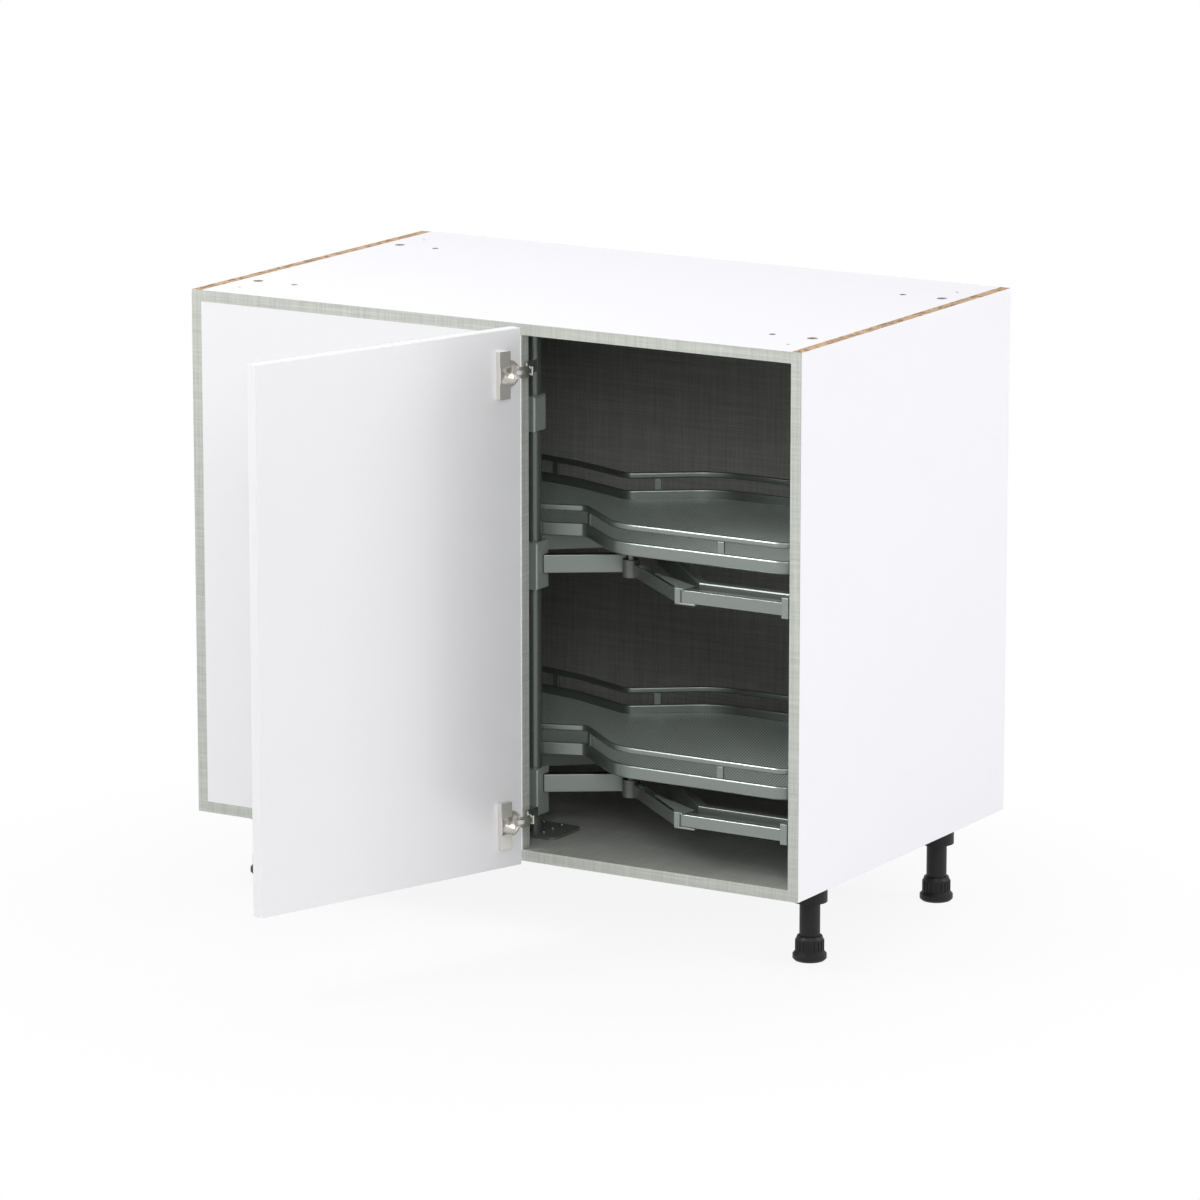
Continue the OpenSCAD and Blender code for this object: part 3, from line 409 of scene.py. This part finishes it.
# Plated fittings
cover_nickel = metal("cover_nickel", (0.76, 0.745, 0.71), gloss=0.22, lines=(260.0, 260.0, 1500.0),
                     change=0.12, metallic=0.75)
nickel_plate = metal("nickel_plate", (0.56, 0.545, 0.515), gloss=0.20, lines=(260.0, 260.0, 1500.0),
                     change=0.12, metallic=0.95)
dark_zinc = metal("dark_zinc", (0.22, 0.155, 0.09), gloss=0.42, lines=(700.0, 700.0, 700.0),
                  change=0.2, metallic=1.0)

# Mouldings
black_plastic = skinned("black_plastic", (0.014, 0.014, 0.015), gloss=0.45, grain=2200.0, tone=0.2,
                        depth=0.03 * MM, Specular_IOR_Level=0.22)
cream_plastic = skinned("cream_plastic", (0.62, 0.58, 0.46), gloss=0.38, grain=1500.0)

BODY_OF = {node: body for body, nodes in frame["record"]["behaviour"]["bodies"].items() for node in nodes}


def cleaned(node):
    """The node's solid as a welded shape with its flat faces whole."""
    shape = bmesh.new()
    shape.from_mesh(frame["nodes"][node].data)
    bmesh.ops.remove_doubles(shape, verts=shape.verts, dist=WELD)
    bmesh.ops.dissolve_limit(shape, angle_limit=FLAT, verts=shape.verts, edges=shape.edges)
    return shape


def share_rounding(shape, thin):
    """Gives each sharp edge its share of the rounding: a small one where thin says so of its middle."""
    share = shape.edges.layers.float.new("bevel_weight_edge")
    for edge in shape.edges:
        if edge.calc_face_angle(0.0) > CREASE:
            middle = (edge.verts[0].co + edge.verts[1].co) / 2
            edge[share] = THIN_SHARE if thin(middle) else 1.0


def finish_mesh(shape, name, body, materials):
    """Turns a shape into a piece that rides on a body."""
    for edge in shape.edges:
        edge.smooth = len(edge.link_faces) == 2 and edge.calc_face_angle(0.0) < CREASE
    for face in shape.faces:
        face.smooth = True
    mesh = bpy.data.meshes.new(name)
    shape.to_mesh(mesh)
    shape.free()
    piece = bpy.data.objects.new(name, mesh)
    bpy.context.scene.collection.objects.link(piece)
    for finish in materials:
        mesh.materials.append(finish)
    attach(piece, body)
    return piece


def soften(piece, width, segments, shared):
    """Rounds the piece's edges and shades it evenly; shared edges take their own shares of the width."""
    round_off = piece.modifiers.new("rounded_edges", "BEVEL")
    round_off.width = width
    round_off.segments = segments
    round_off.limit_method = "WEIGHT" if shared else "ANGLE"
    round_off.angle_limit = CREASE
    round_off.use_clamp_overlap = True
    even = piece.modifiers.new("even_shading", "WEIGHTED_NORMAL")
    even.keep_sharp = True
    even.weight = EVEN_WEIGHT


def dressed(node, finish, edge, segments=2, choose=None, thin=None):
    """The node's own shape with rounded edges and its finish.

    finish is a material, or a list from which choose picks by a face's middle and normal.
    thin says of an edge's middle whether a wall there takes only a small rounding."""
    shape = cleaned(node)
    if thin:
        share_rounding(shape, thin)
    if choose:
        for face in shape.faces:
            face.material_index = choose(face.calc_center_median(), face.normal)
    materials = finish if isinstance(finish, list) else [finish]
    piece = finish_mesh(shape, node + "_piece", BODY_OF[node], materials)
    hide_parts(node)
    soften(piece, edge, segments, thin is not None)


def side_finish(outward):
    """0 white on the face that looks outward along x, 1 linen on the inner one, 2 raw flakes elsewhere."""
    def pick(at, normal):
        if normal.x * outward > FACING:
            return 0
        rounded_off = abs(normal.y) < FACING and abs(normal.z) < FACING
        return 1 if normal.x * outward < -FACING or rounded_off else 2
    return pick


def deck_finish(at, normal):
    """0 white above, 1 linen below, 2 raw flakes in the holes and on the rear edge."""
    if normal.z > FACING and at.z > deck_top - ON_FACE:
        return 0
    return 1 if normal.z < -FACING else 2


def floor_finish(at, normal):
    """0 white below, 1 linen above, 2 raw flakes in the holes and on the rear edge."""
    if normal.z < -FACING and at.z < floor_under + ON_FACE:
        return 0
    return 1 if normal.z > FACING else 2


def back_finish(at, normal):
    """0 linen on both faces, 1 raw flakes on the edges."""
    return 0 if abs(normal.y) > FACING else 1


def blind_finish(at, normal):
    """0 lacquer in front, 1 linen behind, 2 raw flakes on the edges."""
    if normal.y < -FACING:
        return 0
    return 1 if normal.y > FACING else 2


# Carcass
deck_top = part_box("top_panel")[1].z
floor_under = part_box("bottom_panel")[0].z
board = [white_melamine, linen_painted_shade_inside, raw_chipboard]
dressed("side_panel_left", board, edge=0.3 * MM, segments=1, choose=side_finish(-1))
dressed("side_panel_right", board, edge=0.3 * MM, segments=1, choose=side_finish(1))
dressed("top_panel", board, edge=0.2 * MM, segments=1, choose=deck_finish)
dressed("bottom_panel", board, edge=0.2 * MM, segments=1, choose=floor_finish)
dressed("back_panel", [linen_painted_deep_shade_back, raw_chipboard], edge=0.2 * MM, segments=1, choose=back_finish)
dressed("edge_bands", linen_edge, edge=0.3 * MM)
dressed("blind_panel", [gloss_lacquer, linen_painted_shade_inside, raw_chipboard], edge=0.8 * MM, choose=blind_finish)
dressed("door_panel", gloss_lacquer, edge=1.2 * MM, segments=3)
for node in ("cam_discs", "cam_bolts"):
    dressed(node, dark_zinc, edge=0.3 * MM)
dressed("wood_dowels", raw_beech, edge=0.3 * MM)

# Legs
dressed("leg_sockets", black_plastic, edge=0.8 * MM)
dressed("leg_tubes", black_plastic, edge=0.6 * MM)
dressed("leg_screws", nickel_plate, edge=0.3 * MM)
for node in ("foot_front_left", "foot_front_right", "foot_back_left", "foot_back_right"):
    dressed(node, black_plastic, edge=0.6 * MM)

# Hinges
dressed("hinge_cups", cover_nickel, edge=0.4 * MM, segments=3)
dressed("hinge_covers", cover_nickel, edge=0.7 * MM, segments=3)
for node in ("hinge_cup_screws", "hinge_cup_pins", "hinge_plates", "hinge_plate_screws",
             "hinge_arm_pins", "hinge_links", "hinge_arms"):
    dressed(node, nickel_plate, edge=0.3 * MM)

# Pole
dressed("pole", pole_paint, edge=0.4 * MM)
dressed("pole_floor_plate", plate_paint, edge=1.2 * MM, segments=3)
dressed("pole_top_plate", plate_paint, edge=1.2 * MM, segments=3)
dressed("pole_plate_screws", nickel_plate, edge=0.5 * MM)
dressed("pole_stop_block", fitting_paint_painted_light, edge=2.5 * MM, segments=3)

# Swing-out trays
HUB_REACH = 12.3 * MM
GROOVE_DEPTH = 5.5 * MM
GROOVE_FROM_END = 168 * MM
MOUTH_DEPTH = 1 * MM
pin_low, pin_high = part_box("upper_hub_pin")


def hub_finish(at, normal):
    """0 on the arm, 1 round the hub, 2 on the faces that look up in the hub's open top, where black is
    painted shade of its hollow.
    """
    from_pin = math.hypot(at.x - (pin_low.x + pin_high.x) / 2, at.y - (pin_low.y + pin_high.y) / 2)
    if from_pin > HUB_REACH:
        return 0
    return 2 if normal.z > FACING else 1


def rail_groove(node):
    """Says whether a point lies at the groove in the front rail's slanting part."""
    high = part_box(node)[1]
    return lambda at: at.z > high.z - GROOVE_DEPTH and at.x < high.x - GROOVE_FROM_END


def tube_mouth(node):
    """Says whether a point lies between the top and bottom faces of the cradle's tube or at its open end."""
    low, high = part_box(node)
    return lambda at: low.z + ON_FACE < at.z < high.z - ON_FACE or at.x > high.x - MOUTH_DEPTH


for level in ("upper_", "lower_"):
    dressed(level + "sleeve", fitting_paint_painted_light, edge=2.4 * MM, segments=4)
    # Black plastic on the hub's upward faces is painted shade of its hollow top.
    dressed(level + "arm", [fitting_paint, hub_paint, black_plastic], edge=2.8 * MM, segments=4,
            choose=hub_finish)
    dressed(level + "hub_pin", cream_plastic, edge=0.4 * MM)
    dressed(level + "front_rail", bar_paint, edge=3.0 * MM, segments=4,
            thin=rail_groove(level + "front_rail"))
    dressed(level + "cradle", cradle_paint, edge=3.0 * MM, segments=4,
            thin=tube_mouth(level + "cradle"))
    dressed(level + "saddle", fitting_paint, edge=0.8 * MM)
    dressed(level + "end_clip", fitting_paint, edge=1.8 * MM, segments=3)
    dressed(level + "end_cap", black_plastic, edge=0.6 * MM)
    dressed(level + "spacers", fitting_paint, edge=0.8 * MM)
    dressed(level + "tray_floor", tray_lining, edge=0.4 * MM)
    dressed(level + "tray_band", rim_paint, edge=2.4 * MM, segments=4)
    dressed(level + "tray_posts", rim_paint, edge=0.7 * MM)
    dressed(level + "tray_rail", rim_paint, edge=2.8 * MM, segments=4)


def seen_directly(tree):
    """1 for rays from the camera and for reflected or refracted ones, 0 for light that falls on things."""
    path = tree.nodes.new("ShaderNodeLightPath")
    bounced = maths(tree, "MAXIMUM", path.outputs["Is Glossy Ray"], path.outputs["Is Transmission Ray"])
    return maths(tree, "MAXIMUM", path.outputs["Is Camera Ray"], bounced)


def blended(tree, factor, first, second):
    """The output of a shader that is first where the factor is 0 and second where it is 1."""
    blend = tree.nodes.new("ShaderNodeMixShader")
    tree.links.new(factor, blend.inputs[0])
    tree.links.new(first.outputs[0], blend.inputs[1])
    tree.links.new(second.outputs[0], blend.inputs[2])
    return blend.outputs[0]


def floor_material():
    """Pale grey that keeps the cabinet's shadow and fades to the white background further out."""
    made, tree, shader = material("pale_floor", Roughness=0.9,
                                  Base_Color=(FLOOR_GREY, FLOOR_GREY, FLOOR_GREY, 1))
    white = add(tree, "ShaderNodeEmission", Strength=1.0)
    where = tree.nodes.new("ShaderNodeTexCoord")
    far = tree.nodes.new("ShaderNodeVectorMath")
    far.operation = "LENGTH"
    tree.links.new(where.outputs["Object"], far.inputs[0])
    whiteness = spread(tree, far.outputs["Value"], FADE_START, FADE_END, WHITE_NEAR, WHITE_FAR)
    factor = product(tree, seen_directly(tree), whiteness)
    tree.links.new(blended(tree, factor, shader, white), tree.nodes["Material Output"].inputs[0])
    return made


def floor_piece():
    mesh = bpy.data.meshes.new("studio_floor")
    corners = [(x * FLOOR_REACH, y * FLOOR_REACH, 0) for x, y in ((-1, -1), (1, -1), (1, 1), (-1, 1))]
    mesh.from_pydata(corners, [], [(0, 1, 2, 3)])
    mesh.materials.append(floor_material())
    floor = bpy.data.objects.new("studio_floor", mesh)
    floor.location.z = cad_box[0][2] - FLOOR_GAP
    bpy.context.scene.collection.objects.link(floor)


def studio_world():
    world = bpy.data.worlds.new("studio_world")
    bpy.context.scene.world = world
    world.use_nodes = True
    tree = world.node_tree
    tree.nodes.clear()
    out = tree.nodes.new("ShaderNodeOutputWorld")
    white = add(tree, "ShaderNodeBackground", Color=(1, 1, 1, 1), Strength=1.0)
    soft = add(tree, "ShaderNodeBackground", Color=(1, 1, 1, 1), Strength=WORLD_LIGHT)
    tree.links.new(blended(tree, seen_directly(tree), soft, white), out.inputs[0])


def aimed(made, at, look):
    """Puts a lamp or camera at a place and turns it along look."""
    made.location = at
    made.rotation_mode = "QUATERNION"
    made.rotation_quaternion = look.to_track_quat("-Z", "Y")
    bpy.context.scene.collection.objects.link(made)


def lamp(name, at, aim, size, power, gloss_only=False):
    """A rectangular lamp; one for gloss only shows in reflections and lights nothing else."""
    data = bpy.data.lights.new(name, "AREA")
    data.shape = "RECTANGLE"
    data.size, data.size_y = size
    data.energy = power
    made = bpy.data.objects.new(name, data)
    made.visible_diffuse = not gloss_only
    aimed(made, at, Vector(aim) - Vector(at))


def photo_camera():
    data = bpy.data.cameras.new("photo_camera")
    data.sensor_width = CAMERA_SENSOR
    data.lens = CAMERA_LENS
    data.clip_end = CAMERA_REACH
    camera = bpy.data.objects.new("photo_camera", data)
    level = math.cos(CAMERA_DIP)
    look = Vector((-math.sin(CAMERA_TURN) * level, math.cos(CAMERA_TURN) * level, -math.sin(CAMERA_DIP)))
    aimed(camera, CAMERA_AT, look)
    bpy.context.scene.camera = camera


floor_piece()
studio_world()
lamp("key_light", at=(2.7, -3.8, 2.6), aim=(0.1, 0, 0.45), size=(1.8, 1.8), power=60)
lamp("side_light", at=(4.2, 1.25, 1.25), aim=(0.3, 0, 0.45), size=(1.6, 1.4), power=52)
lamp("top_light", at=(0.2, 0.4, 3.6), aim=(0, 0, 0.8), size=(2.0, 2.0), power=15)
lamp("edge_light", at=(-1.55, -1.8, 3.0), aim=(0.25, 0, 0.45), size=(1.6, 0.9), power=50)
lamp("high_gloss_light", at=(-1.75, -2.4, 2.9), aim=(0.25, -0.2, 0.45), size=(2.2, 1.2), power=112,
     gloss_only=True)
lamp("low_gloss_light", at=(-1.75, -3.5, 1.8), aim=(0.25, -0.3, 0.3), size=(2.4, 0.5), power=100,
     gloss_only=True)
photo_camera()
bpy.context.scene.view_settings.view_transform = "Standard"
